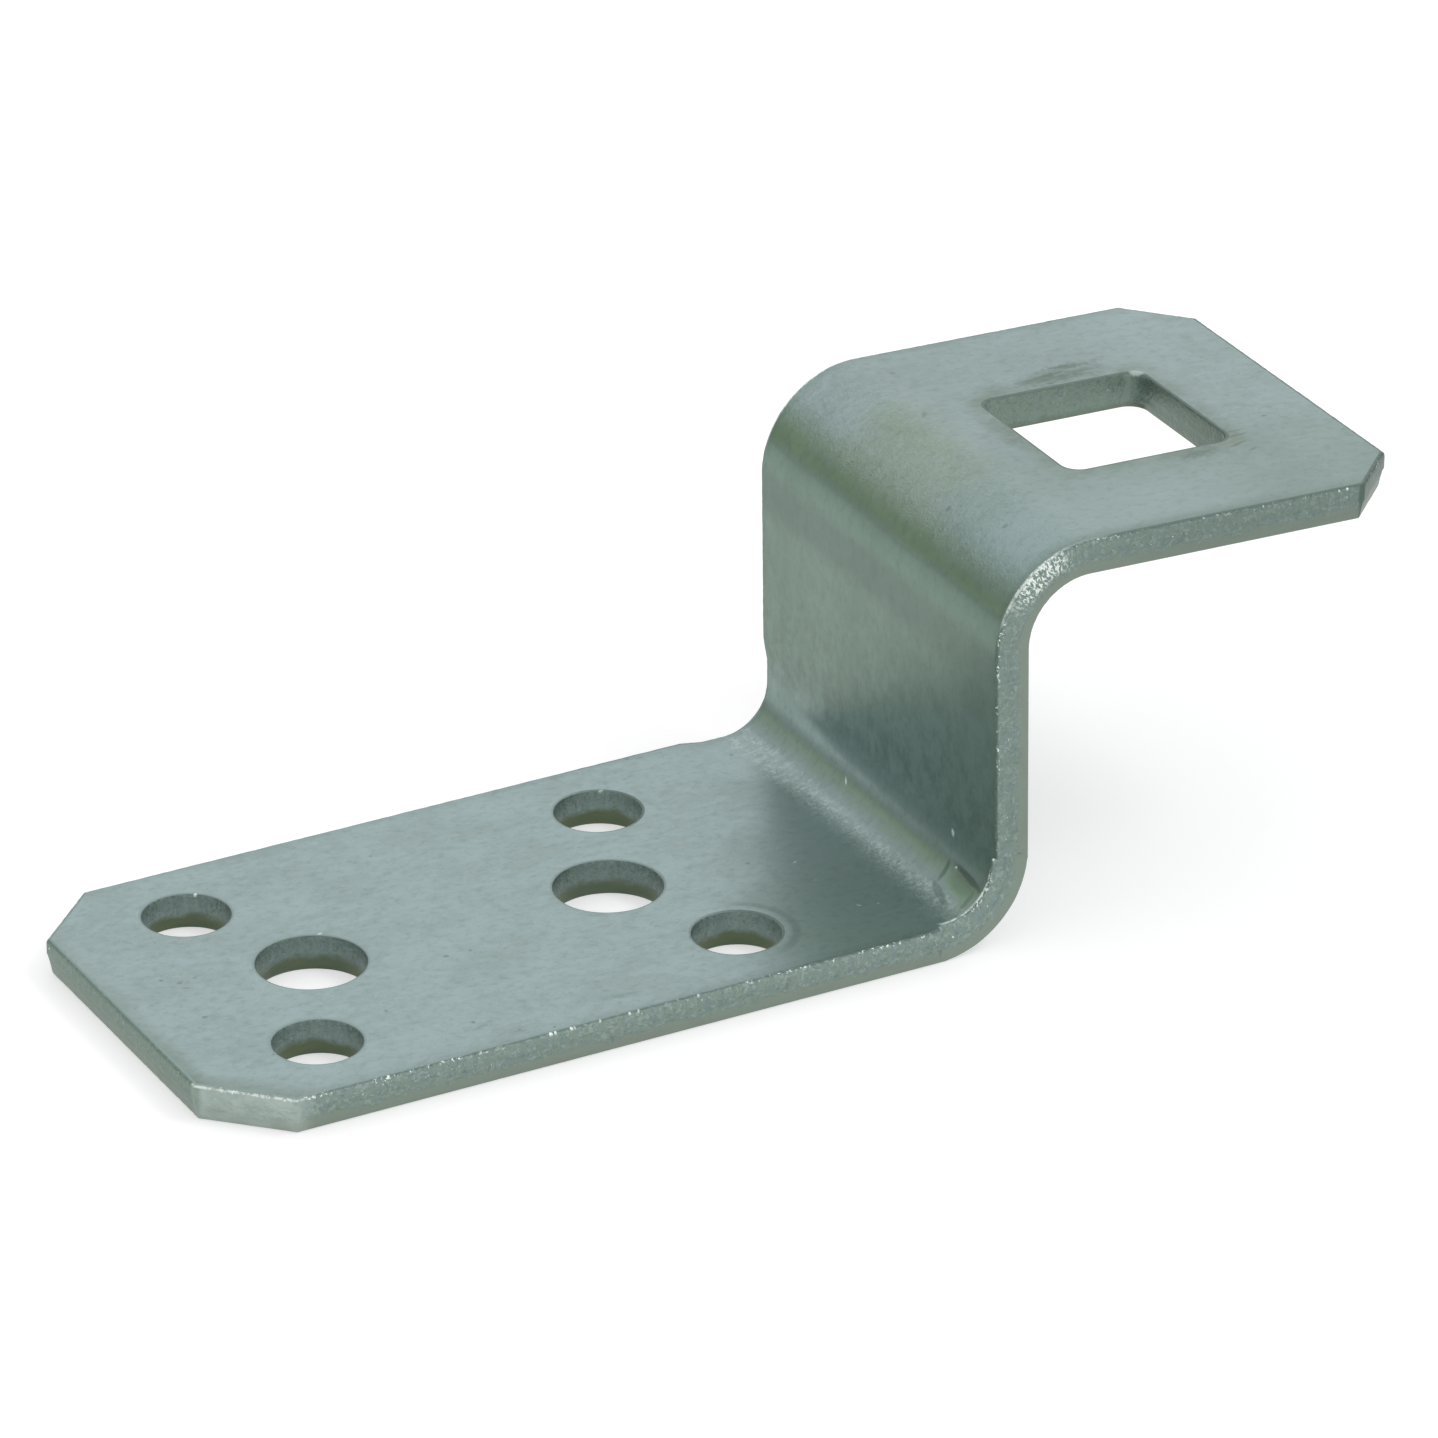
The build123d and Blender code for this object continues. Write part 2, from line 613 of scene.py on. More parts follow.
    def fold_line(self) -> bpy.types.Object:
        """Draw the line that the strip's upper side follows once it is folded.

        Returns:
            The line, as a curve object.
        """
        s = self.sizes
        droop = s.ledge_droop
        lower, upper = s.lower_inside_radius, s.upper_outside_radius
        quarter = 4 / 3 * math.tan(math.pi / 8) * lower
        over = 4 / 3 * math.tan((math.pi / 2 + droop) / 4) * upper
        start = Vector((s.base_end, 0.0, s.thickness))
        bend_in = start + Vector((s.lower_bend_from, 0.0, 0.0))
        web_in = bend_in + Vector((lower, 0.0, lower))
        web_out = web_in + Vector((0.0, 0.0, s.upper_bend_from - s.lower_bend_to))
        ledge_in = web_out + Vector((upper + upper * math.sin(droop), 0.0, upper * math.cos(droop)))
        ledge_length = s.length - s.upper_bend_to
        tip = ledge_in + Vector((math.cos(droop), 0.0, -math.sin(droop))) * ledge_length
        web_third = (web_out - web_in).length / 3
        knots = (
            (start, 0.0, 1.0, s.lower_bend_from / 3),
            (bend_in, 0.0, s.lower_bend_from / 3, quarter),
            (web_in, math.pi / 2, quarter, web_third),
            (web_out, math.pi / 2, web_third, over),
            (ledge_in, -droop, over, ledge_length / 3),
            (tip, -droop, ledge_length / 3, 1.0),
        )
        curve = bpy.data.curves.new("fold_line", "CURVE")
        curve.dimensions = "3D"
        curve.twist_mode = "MINIMUM"
        curve.resolution_u = 64
        spline = curve.splines.new("BEZIER")
        spline.bezier_points.add(len(knots) - 1)
        for knot, (place, heading, before, after) in zip(spline.bezier_points, knots):
            ahead = Vector((math.cos(heading), 0.0, math.sin(heading)))
            knot.handle_left_type = "FREE"
            knot.handle_right_type = "FREE"
            knot.co = place
            knot.handle_left = place - ahead * before
            knot.handle_right = place + ahead * after
        line = bpy.data.objects.new("fold_line", curve)
        bpy.context.scene.collection.objects.link(line)
        return line

    def fold(self) -> None:
        """Fold the strip along its line, bring it to metres and smooth its shading."""
        line = self.fold_line()
        press = self.piece.modifiers.new("press", "CURVE")
        press.object = line
        press.deform_axis = "POS_X"
        take(self.piece)
        bpy.ops.object.modifier_apply(modifier=press.name)
        bpy.data.objects.remove(line)
        edit(True)
        bpy.ops.mesh.select_all(action="SELECT")
        stretch(TO_METRES, TO_METRES, TO_METRES)
        edit(False)
        bpy.ops.object.shade_smooth_by_angle(angle=SMOOTH_ANGLE)

    def build(self, finishes: Finishes) -> None:
        """Make the bracket, in metres, at its place in the frame.

        Args:
            finishes: The materials by the names skin, sheared, punched and square.
        """
        self.shear()
        self.piece.data.materials.append(finishes["skin"])
        self.piece.data.materials.append(finishes["sheared"])
        self.shape_edge()
        self.open_flanges()
        self.join_holes(finishes)
        self.dress(finishes)
        self.remember_flat_place()
        self.roughen()
        self.pare_reliefs()
        self.thin_at_bend()
        self.fold()
        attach(self.piece, "root")
        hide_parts("bracket")
        self.piece.data.calc_loop_triangles()
        log.info("folded strip: %d triangles", len(self.piece.data.loop_triangles))


class NodeBench:
    """A node tree, with short ways to add and join nodes. Any value may be a number or a socket."""

    def __init__(self, tree: bpy.types.NodeTree) -> None:
        """Take the tree to work on."""
        self.tree = tree

    def add(self, kind: str, inputs: Optional[dict] = None, **settings: object) -> bpy.types.Node:
        """Add a node.

        Args:
            kind: The node's type name.
            inputs: Values or sockets for its inputs, by name or number.
            **settings: The node's own settings.

        Returns:
            The node.
        """
        node = self.tree.nodes.new(kind)
        for name, value in settings.items():
            setattr(node, name, value)
        for name, value in (inputs or {}).items():
            self.put(node.inputs[name], value)
        return node

    def put(self, socket: Socket, value: object) -> None:
        """Link a socket into an input, or set the input to a value.

        Args:
            socket: The input.
            value: The socket or the value.
        """
        if isinstance(value, Socket):
            self.tree.links.new(value, socket)
        else:
            socket.default_value = value

    def math(self, operation: str, a: object, b: object = 0.0) -> Socket:
        """Return the result of a Math node on one or two values."""
        return self.add("ShaderNodeMath", {0: a, 1: b}, operation=operation).outputs[0]

    def times(self, *values: object) -> Socket:
        """Return the product of the values."""
        return reduce(lambda a, b: self.math("MULTIPLY", a, b), values)

    def plus(self, *values: object) -> Socket:
        """Return the sum of the values."""
        return reduce(lambda a, b: self.math("ADD", a, b), values)

    def most(self, *values: object) -> Socket:
        """Return the largest of the values."""
        return reduce(lambda a, b: self.math("MAXIMUM", a, b), values)

    def vector(self, operation: str, a: object, b: object = ORIGIN, result: str = "Vector") -> Socket:
        """Return the result of a Vector Math node on one or two vectors."""
        return self.add("ShaderNodeVectorMath", {0: a, 1: b}, operation=operation).outputs[result]

    def span(
        self, value: object, low: object, high: object, to_low: float = 0.0, to_high: float = 1.0
    ) -> Socket:
        """Return a value brought smoothly from one span to another, and held at the ends."""
        ends = {"Value": value, "From Min": low, "From Max": high, "To Min": to_low, "To Max": to_high}
        return self.add("ShaderNodeMapRange", ends, interpolation_type="SMOOTHSTEP").outputs["Result"]

    def pulse(
        self, value: object, start: float, full: float, last: float, end: float, base: float = 0.0
    ) -> Socket:
        """Return a mask that rises from start to full, stays, and falls from last to end, all from base."""
        rise = self.span(value, base + start, base + full)
        return self.times(rise, self.span(value, base + last, base + end, 1.0, 0.0))

    def stray(self, value: object, noise: Socket, reach: float) -> Socket:
        """Return a value pushed up and down by a noise, over the reach."""
        return self.plus(value, self.times(self.math("SUBTRACT", noise, 0.5), reach))

    def blend(self, amount: object, a: object, b: object) -> Socket:
        """Return two colours mixed by an amount."""
        mix = self.add("ShaderNodeMix", {"Factor": amount, "A": a, "B": b}, data_type="RGBA")
        return [out for out in mix.outputs if out.type == "RGBA"][0]

    def scaled(self, vector: object, scale: Triple) -> Socket:
        """Return a vector stretched along each axis."""
        return self.add("ShaderNodeMapping", {"Vector": vector, "Scale": scale}).outputs[0]

    def noise(
        self,
        vector: Socket,
        scale: object,
        detail: float = 3.0,
        rough: float = 0.55,
        grain: Optional[Triple] = None,
        twist: float = 0.0,
    ) -> Socket:
        """Draw a noise texture.

        Args:
            vector: The place that it reads.
            scale: How fine it is.
            detail: How many finer layers it has.
            rough: How strong those are.
            grain: How much finer it is along each axis.
            twist: How much it is distorted.

        Returns:
            Its value.
        """
        place = self.scaled(vector, grain) if grain else vector
        values = {"Vector": place, "Scale": scale, "Detail": detail, "Roughness": rough, "Distortion": twist}
        return self.add(Pattern.NOISE.value, values).outputs[0]


def light_of(channel: float) -> float:
    """Return one channel of a colour, given from 0 to 255 on the usual screen curve, as light."""
    c = channel / 255.0
    return c / 12.92 if c <= 0.04045 else ((c + 0.055) / 1.055) ** 2.4


def tone(r: float, g: float, b: float) -> tuple[float, float, float, float]:
    """Return a colour, given as the eye sees it from 0 to 255, in the shader's own light values."""
    return (light_of(r), light_of(g), light_of(b), 1.0)


@dataclass(frozen=True)
class ZincTones:
    """Colours of the zinc plating and its yellow passivation over the bracket, and of the painted shade and
    light on it.
    """

    pale: tuple = tone(154, 174, 175)
    deep: tuple = tone(146, 165, 164)
    # dull: also the painted shade on the ledge
    dull: tuple = tone(126, 144, 141)
    # web: also the painted shade on the web, on the base's end and in the web's reflection on the base
    web: tuple = tone(106, 130, 114)
    olive: tuple = tone(125, 152, 120)
    leaf: tuple = tone(138, 155, 138)
    # dusk: dark pits, and the painted shade on rims, ends, holes and the web
    dusk: tuple = tone(78, 96, 88)
    # frost_and_sheen: frosted metal, and painted light on the front crop and round a small hole
    frost_and_sheen: tuple = tone(172, 186, 180)
    rime: tuple = tone(188, 205, 203)
    speck: tuple = tone(88, 102, 96)
    brown: tuple = tone(110, 126, 107)
    soot: tuple = tone(86, 106, 92)
    glint: tuple = tone(236, 246, 240)


@dataclass(frozen=True)
class CutTones:
    """Colours of one kind of cut, and where down the strip its grainy part turns smooth.

    Attributes:
        name: The material's name.
        cool: Blue-grey of the grainy part.
        warm: Green-grey of the grainy part.
        smooth: Olive of the smooth part below.
        foot: Brown that the smooth part takes in streaks.
        turn: Depth at which grainy turns to smooth, in millimetres.
        dots: How strong the light dots are.
        sparkle: How strong the sparkles are.
    """

    name: str
    cool: tuple
    warm: tuple
    smooth: tuple
    foot: tuple
    turn: float
    dots: float
    sparkle: float


@dataclass(frozen=True)
class Mark:
    """A small mark on the side that faces up: a speck, smudge, scratch, patch of painted shade or painted
    glint.

    Attributes:
        x: Place along the flat strip.
        y: Place across it.
        along: Half its length.
        across: Half its width.
        turn: How far it is turned, in degrees.
        strength: How much of its colour shows.
    """

    x: float
    y: float
    along: float
    across: float
    turn: float
    strength: float


# The marks by kind, each with its fields in order
MARKS = {
    "Dark": (
        (7.8, 2.4, 0.45, 0.3, 20.0, 0.4), (8.0, 1.1, 0.7, 0.16, -20.0, 0.4),
        (7.0, -5.3, 0.4, 0.35, 0.0, 0.5), (161.2, -6.0, 0.4, 0.22, 0.0, 0.55),
        (156.2, -9.0, 1.5, 0.2, 8.0, 0.55), (155.2, -10.9, 1.4, 0.2, 18.0, 0.6),
        (156.6, -7.9, 1.2, 0.18, 4.0, 0.45), (156.0, -12.6, 0.9, 0.18, 22.0, 0.4),
        (33.7, -5.5, 0.4, 0.35, 0.0, 0.45), (131.8, 19.7, 0.4, 0.35, 0.0, 0.4),
        (129.7, 9.2, 0.9, 0.3, 60.0, 0.35), (122.7, -7.5, 0.45, 0.4, 0.0, 0.45),
        (124.9, -15.9, 0.4, 0.35, 0.0, 0.4),
    ),
    "Smudge": (
        (146.8, 11.8, 7.0, 1.7, 3.0, 1.0), (148.9, 13.5, 5.0, 0.9, 3.0, 0.9),
        (139.4, 11.2, 3.0, 2.2, 0.0, 0.45), (150.6, -11.2, 3.6, 1.4, 4.0, 0.75),
        (134.6, 2.0, 1.6, 6.0, 0.0, 0.4), (33.5, -22.6, 3.8, 1.2, 8.0, 0.3),
        (30.0, -20.4, 2.6, 0.8, 20.0, 0.25), (45.0, -21.5, 3.0, 0.8, -6.0, 0.2),
        (137.0, 10.6, 2.2, 1.6, 0.0, 0.2),
    ),
    "Olive": (
        (85.1, -21.4, 1.2, 3.0, 0.0, 0.6), (84.2, -23.4, 1.0, 1.6, 0.0, 0.4),
    ),
    # Painted shade: dark lines along the pressed patch's edges, and two patches on the web
    "PaintedShade": (
        (85.3, -21.2, 1.1, 2.8, 0.0, 0.36), (86.35, -21.6, 0.45, 3.4, -6.0, 0.75),
        (85.4, -17.5, 1.5, 0.4, 8.0, 0.6), (83.2, -19.6, 0.5, 3.2, -14.0, 0.5),
        (84.6, -23.6, 1.6, 0.4, 10.0, 0.5), (106.6, -20.5, 2.6, 4.0, 20.0, 0.22),
        (103.0, -12.0, 1.2, 2.6, -30.0, 0.16),
    ),
    # Painted highlights on the skin and on the cut rims
    "Glint": (
        (89.4, -16.8, 0.5, 0.36, 0.0, 1.0), (86.0, 5.0, 0.6, 0.14, 47.0, 0.8),
        (86.4, -18.9, 0.18, 0.2, 0.0, 0.8), (17.35, 18.9, 0.25, 0.2, 0.0, 0.8),
        (24.7, 5.0, 0.3, 0.2, 0.0, 0.5), (64.0, 19.2, 0.3, 0.18, 0.0, 0.4),
        (35.6, -24.9, 0.2, 0.22, 0.0, 1.0), (36.1, -24.9, 0.14, 0.2, 0.0, 0.8),
        (37.9, -24.9, 0.2, 0.2, 0.0, 0.9), (38.3, -24.9, 0.12, 0.24, 0.0, 0.6),
        (41.1, -24.9, 0.12, 0.2, 0.0, 0.6), (44.4, -24.9, 0.16, 0.18, 0.0, 0.7),
        (45.4, -24.9, 0.12, 0.22, 0.0, 0.6), (52.1, -24.9, 0.16, 0.2, 0.0, 0.6),
        (158.8, -24.9, 0.12, 0.1, 0.0, 0.7), (159.8, -24.9, 0.14, 0.12, 0.0, 0.9),
        (149.8, -24.9, 0.1, 0.1, 0.0, 0.5), (154.9, 9.1, 0.9, 0.45, -40.0, 0.4),
        (74.0, -4.7, 0.34, 0.14, 30.0, 0.5), (74.0, -9.2, 0.28, 0.12, -20.0, 0.35),
        (75.2, -16.1, 0.34, 0.12, -60.0, 0.5), (77.1, -16.7, 0.2, 0.14, 0.0, 0.5),
    ),
}


class Effect(NodeBench):
    """A shader node group with named inputs and outputs, built once and placed in each material."""

    def __init__(self, name: str, inputs: dict[str, object], outputs: Sequence[str]) -> None:
        """Make the empty group.

        Args:
            name: The group's name.
            inputs: What each input is at first: a number, a colour, or none for a vector.
            outputs: Names of the outputs. Color is a colour, and the others are values.
        """
        super().__init__(bpy.data.node_groups.new(name, "ShaderNodeTree"))
        face = self.tree.interface
        for label, first in inputs.items():
            kind = "Vector" if first is None else "Color" if isinstance(first, tuple) else "Float"
            socket = face.new_socket(name=label, in_out="INPUT", socket_type="NodeSocket" + kind)
            if first is not None:
                socket.default_value = first
        for label in outputs:
            kind = "Color" if label == "Color" else "Float"
            face.new_socket(name=label, in_out="OUTPUT", socket_type="NodeSocket" + kind)
        self.given = self.add("NodeGroupInput").outputs
        self.out = self.add("NodeGroupOutput").inputs


class Mottle(Effect):
    """The plating's mottle: soft clouds of low contrast, fine grit and small dark specks."""

    def __init__(self, tones: ZincTones) -> None:
        """Build the group.

        Args:
            tones: The colours that it has at first.
        """
        colours = {"Pale": tones.pale, "Deep": tones.deep, "Speck": tones.speck}
        super().__init__("plating_mottle", {"Place": None, **colours}, ("Color", "Clouds"))
        place = self.given["Place"]
        wide = self.noise(place, 0.13, grain=(0.7, 1.0, 1.0))
        fine = self.noise(place, 0.75, 4.0, 0.65, (0.75, 1.0, 1.0))
        grit = self.noise(place, 4.5, 2.0, 0.6)
        mixed = self.plus(self.times(wide, 0.4), self.times(fine, 0.42), self.times(grit, 0.18))
        clouds = self.span(mixed, 0.4, 0.6)
        cells = self.add(Pattern.CELLS.value, {"Vector": place, "Scale": 0.3, "Randomness": 1.0}).outputs
        near_dot = self.span(cells["Distance"], 0.03, 0.1, 1.0, 0.0)
        lot = self.add("ShaderNodeSeparateColor", {0: cells["Color"]}).outputs[0]
        speck = self.times(near_dot, self.span(lot, 0.75, 0.98, 0.0, 0.6))
        base = self.blend(clouds, self.given["Deep"], self.given["Pale"])
        self.put(self.out["Color"], self.blend(speck, base, self.given["Speck"]))
        self.put(self.out["Clouds"], clouds)


class Grain(Effect):
    """The fine grain that the plating and the cuts have, as a height."""

    def __init__(self) -> None:
        """Build the group."""
        super().__init__("metal_grain", {"Place": None, "Scale": 3.0, "Along": 0.4}, ("Height",))
        drawn = self.add("ShaderNodeCombineXYZ", {0: self.given["Along"], 1: 1.0, 2: 1.0}).outputs[0]
        place = self.vector("MULTIPLY", self.given["Place"], drawn)
        self.put(self.out["Height"], self.noise(place, self.given["Scale"], 4.0, 0.6))


class Flecks(Effect):
    """Small flecks of uneven shape, as a mask. Sparse is 0 for many and 1 for few."""

    def __init__(self) -> None:
        """Build the group."""
        super().__init__("flecks", {"Place": None, "Scale": 2.0, "Sparse": 0.5}, ("Mask",))
        field = self.noise(self.given["Place"], self.given["Scale"], 2.0, 0.6, twist=0.6)
        low = self.span(self.given["Sparse"], 0.0, 1.0, 0.5, 0.7)
        self.put(self.out["Mask"], self.span(field, low, self.plus(low, 0.05)))


class SurfaceMarks(Effect):
    """Masks of the specks, smudges, scratches, painted shade and painted glints that sit at their own places.
    """

    def __init__(self) -> None:
        """Build the group."""
        super().__init__("surface_marks", {"Place": None}, tuple(MARKS))
        place = self.given["Place"]
        ragged = self.add(Pattern.NOISE.value, {"Vector": place, "Scale": 1.6, "Detail": 3.0})
        shift = self.vector("SUBTRACT", ragged.outputs["Color"], (0.5, 0.5, 0.5))
        for label, rows in MARKS.items():
            reach, core = (2.2, 0.2) if label == "Smudge" else (0.35, 0.5)
            where = self.vector("ADD", place, self.vector("MULTIPLY", shift, (reach, reach, reach)))
            self.put(self.out[label], self.most(*(self.mask(where, Mark(*row), core) for row in rows)))

    def mask(self, where: Socket, mark: Mark, core: float) -> Socket:
        """Draw one mark.

        Args:
            where: The place that it reads, with its edge made ragged.
            mark: The mark.
            core: How much of it, from its middle, has its full strength.

        Returns:
            Its mask.
        """
        values = {
            "Vector": where,
            "Location": (mark.x, mark.y, 0.0),
            "Rotation": (0.0, 0.0, math.radians(mark.turn)),
            "Scale": (mark.along, mark.across, 1.0),
        }
        spot = self.add("ShaderNodeMapping", values, vector_type="TEXTURE").outputs[0]
        return self.span(self.vector("LENGTH", spot, result="Value"), core, 1.15, mark.strength, 0.0)


class Workshop:
    """What every finish of the bracket draws on: its sizes, its tones and the shared effects."""

    def __init__(self, sizes: StripSizes, tones: ZincTones) -> None:
        """Build the shared effects.

        Args:
            sizes: Sizes of the strip.
            tones: Colours of the plating.
        """
        self.sizes = sizes
        self.tones = tones
        self.mottle = Mottle(tones).tree
        self.grain = Grain().tree
        self.flecks = Flecks().tree
        self.marks = SurfaceMarks().tree


class Coat(NodeBench):
    """A material whose colour is laid on in layers, by the place that each point has in the flat strip."""

    metallic = 0.7

    def __init__(self, name: str, shop: Workshop) -> None:
        """Start the material, with its shader and its places along, across and up.

        Args:
            name: The material's name.
            shop: What it draws on.
        """
        self.material = bpy.data.materials.new(name)
        self.material.use_nodes = True
        self.material.node_tree.nodes.clear()
        super().__init__(self.material.node_tree)
        self.shop = shop
        self.tones = shop.tones
        self.foot, self.head = shop.sizes.lower_bend_to, shop.sizes.upper_bend_from
        self.shader = self.add("ShaderNodeBsdfPrincipled", {"Metallic": self.metallic})
        self.add("ShaderNodeOutputMaterial", {"Surface": self.shader.outputs[0]})
        flat = self.add("ShaderNodeAttribute", attribute_name=FLAT_PLACE, attribute_type="GEOMETRY")
        self.place = flat.outputs["Vector"]
        self.along, self.across, self.height = self.add("ShaderNodeSeparateXYZ", {0: self.place}).outputs
        self.colour: object = self.tones.pale

    def effect(self, group: bpy.types.NodeTree, **inputs: object) -> bpy.types.NodeOutputs:
        """Place a shared effect and return its outputs."""
        return self.add("ShaderNodeGroup", {"Place": self.place, **inputs}, node_tree=group).outputs

    def flecks(self, scale: float, sparse: float, grain: Optional[Triple] = None) -> Socket:
        """Return a mask of flecks."""
        place = self.scaled(self.place, grain) if grain else self.place
        return self.effect(self.shop.flecks, Place=place, Scale=scale, Sparse=sparse)["Mask"]

    def cloud(self, scale: float, *rest: object) -> Socket:
        """Return a noise on the flat place."""
        return self.noise(self.place, scale, *rest)

    def lay(self, paint: object, *shares: object) -> None:
        """Lay a colour over what is there, as strongly as all the shares multiplied."""
        self.colour = self.blend(self.times(*shares), self.colour, paint)

    def finish(self, rough: Socket, heights: Socket, strength: float, distance: float) -> None:
        """Give the shader its colour, its roughness and its bump.

        Args:
            rough: The roughness.
            heights: The bump's heights.
            strength: How strong the bump is.
            distance: How high its heights are, in metres.
        """
        bump = self.add("ShaderNodeBump", {"Strength": strength, "Distance": distance, "Height": heights})
        self.put(self.shader.inputs["Base Color"], self.colour)
        self.put(self.shader.inputs["Roughness"], rough)
        self.put(self.shader.inputs["Normal"], bump.outputs[0])


class ZincSkin(Coat):
    """The finish of the broad sides: mottled plating, its yellow-green tint at the bends, painted shade and
    glints.
    """

    def __init__(self, shop: Workshop) -> None:
        """Lay the whole finish.

        Args:
            shop: What it draws on.
        """
        super().__init__("zinc_skin", shop)
        self.up_side = self.span(self.height, -3.0, -1.0)
        mottle = self.effect(shop.mottle)
        self.colour = mottle["Color"]
        self.shifted = self.stray(self.along, self.cloud(0.45, 4.0, 0.6, (1.0, 0.3, 1.0)), 1.6)
        self.frayed = self.stray(self.along, self.cloud(0.7, 5.0, 0.65, (0.9, 1.0, 1.0)), 3.6)
        self.pressed = self.pulse(self.frayed, -9.0, -7.6, -6.2, -4.9, self.foot)
        self.crazed = self.pulse(self.frayed, 5.5, 8.0, 14.0, 20.0, self.head)
        self.craze = self.cloud(1.5, 3.0, 0.5, (1.0, 0.7, 1.0), 2.2)
        self.paint_shade_on_flats()
        self.tint_and_shade_upper_bend()
        self.blotch_and_shade_web()
        self.frost_lower_bend()
        self.craze_upper_bend()
        self.lighten_ledge_front()
        self.paint_light_and_shade_round_hole()
        self.stain_rims()
        self.dull_edges()
        self.lay_marks()
        grain = self.effect(shop.grain, Scale=1.6, Along=0.8)["Height"]
        wrinkle = self.times(self.craze, self.plus(self.crazed, self.times(self.pressed, 0.5)))
        rough = self.span(mottle["Clouds"], 0.0, 1.0, 0.37, 0.31)
        heights = self.plus(self.times(grain, 0.15), wrinkle)
        self.finish(rough, heights, strength=0.5, distance=0.00018)

    def paint_shade_on_flats(self) -> None:
        """Paint shade: a darker, greener web, a duller ledge, and the web's reflection on the base."""
        foot, head, ledge = self.foot, self.head, self.shop.sizes.upper_bend_to
        web = self.pulse(self.shifted, foot - 5.0, foot + 5.0, head + 4.0, head + 11.0)
        low_web = self.times(self.pulse(self.shifted, -5.0, -2.0, 2.0, 6.0, foot), 0.6)
        slanted = self.plus(self.shifted, self.times(self.across, 0.53))
        stronger = self.span(slanted, foot + 3.0, foot + 12.0, 0.54, 0.83)
        # Painted shade on the web
        self.lay(self.tones.web, self.most(web, low_web), stronger)
        # Painted shade on the ledge
        self.lay(
            self.tones.dull,
            self.span(self.along, ledge - 8.0, ledge + 2.0, 0.0, 0.42),
            self.span(self.across, 13.0, 20.0, 1.0, 0.85),
            self.span(self.along, 150.0, 162.0, 1.0, 0.5),
        )
        # Painted reflection of the web on the base, stronger towards the front
        to_front = self.span(self.across, -24.0, 2.0, 0.45, 0.0)
        self.lay(self.tones.web, self.span(self.along, 58.0, 70.0), to_front, self.up_side)

    def tint_and_shade_upper_bend(self) -> None:
        """Lay an olive band with a dark lower edge and a frayed upper one, and a dark streak below it."""
        # Olive band: the plating's tint and a painted reflection of the dim room
        sharp = self.span(self.shifted, self.head + 3.9, self.head + 4.9)
        sooner = self.plus(self.frayed, self.span(self.across, -21.0, -5.0, 1.6, 0.0))
        fade = self.span(sooner, self.head + 5.2, self.head + 9.8, 0.94, 0.0)
        patchy = self.span(self.cloud(0.5, 4.0, 0.6), 0.3, 0.6, 0.5, 0.9)
        self.lay(self.tones.olive, sharp, fade, patchy)
        # Painted dark edge under the band, where the reflected dim room ends
        self.lay(self.tones.dusk, self.pulse(self.shifted, 3.6, 4.2, 4.7, 5.4, self.head), 0.14)
        streak = self.pulse(self.shifted, -5.5, -2.2, -0.2, 1.8, self.head)
        self.lay(self.tones.dusk, streak, self.span(self.across, -20.0, 0.0, 0.24, 0.4))

    def blotch_and_shade_web(self) -> None:
        """Lay soft patina blotches over the web, with painted shade that makes them stronger low down."""
        foot, head = self.foot, self.head
        soft = self.span(self.cloud(0.42, 5.0, 0.7, (0.8, 1.0, 1.0)), 0.42, 0.62)
        on_web = self.pulse(self.along, foot - 1.0, foot + 2.0, head, head + 3.0)
        self.lay(self.tones.dusk, soft, on_web, self.span(self.along, foot + 2.0, head - 4.0, 0.34, 0.1))

    def frost_lower_bend(self) -> None:
        """Lay an olive line at the web's foot, dull metal below it, and frost where the bend starts."""
        # Olive line: the plating's tint and a painted reflection of the dim room
        self.lay(self.tones.olive, self.pulse(self.shifted, -5.2, -4.2, -3.3, -2.3, self.foot), 0.6)
        self.lay(self.tones.dull, self.pulse(self.along, -5.8, -5.2, -4.0, -3.4, self.foot), 0.5)
        self.lay(self.tones.frost_and_sheen, self.pressed, 0.12)
        patches = self.span(self.cloud(0.5), 0.35, 0.6, 0.3, 1.0)
        self.lay(self.tones.rime, self.flecks(1.7, 0.02), self.pressed, self.up_side, patches, 0.5)

    def craze_upper_bend(self) -> None:
        """Craze the skin where the upper bend stretches it, greener in its middle."""
        greened = self.times(self.crazed, self.pulse(self.across, -10.0, -2.0, 9.0, 17.0))
        blooms = self.span(self.cloud(0.28, 3.0, 0.5), 0.48, 0.62)
        self.lay(self.tones.leaf, greened, 0.6)
        self.lay(self.tones.frost_and_sheen, self.span(self.craze, 0.48, 0.62), self.crazed, 0.16)
        self.lay(self.tones.olive, self.span(self.craze, 0.36, 0.48, 1.0, 0.0), self.crazed, 0.16)
        self.lay(self.tones.olive, blooms, greened, 0.18)

    def lighten_ledge_front(self) -> None:
        """Paint the ledge's front lighter, taking back part of the ledge's painted shade."""
        self.lay(
            self.tones.pale,
            self.span(self.along, 120.0, 124.0),
            self.span(self.along, 142.0, 158.0, 1.0, 0.3),
            self.pulse(self.across, -25.0, -22.0, -18.0, -10.0),
            self.up_side,
            0.6,
        )

    def paint_light_and_shade_round_hole(self) -> None:
        """Paint a faint ring of light and a ring of shade round the right side of one small hole."""
        away = self.vector("DISTANCE", self.place, RING_CENTRE, "Value")
        to_right = self.times(self.span(self.along, 1.0 + RING_CENTRE[0], 4.2 + RING_CENTRE[0]), self.up_side)
        self.lay(self.tones.frost_and_sheen, self.pulse(away, 4.6, 4.8, 5.1, 5.6), to_right, 0.3)
        self.lay(self.tones.dusk, self.pulse(away, 5.5, 5.9, 6.2, 6.8), to_right, 0.3)

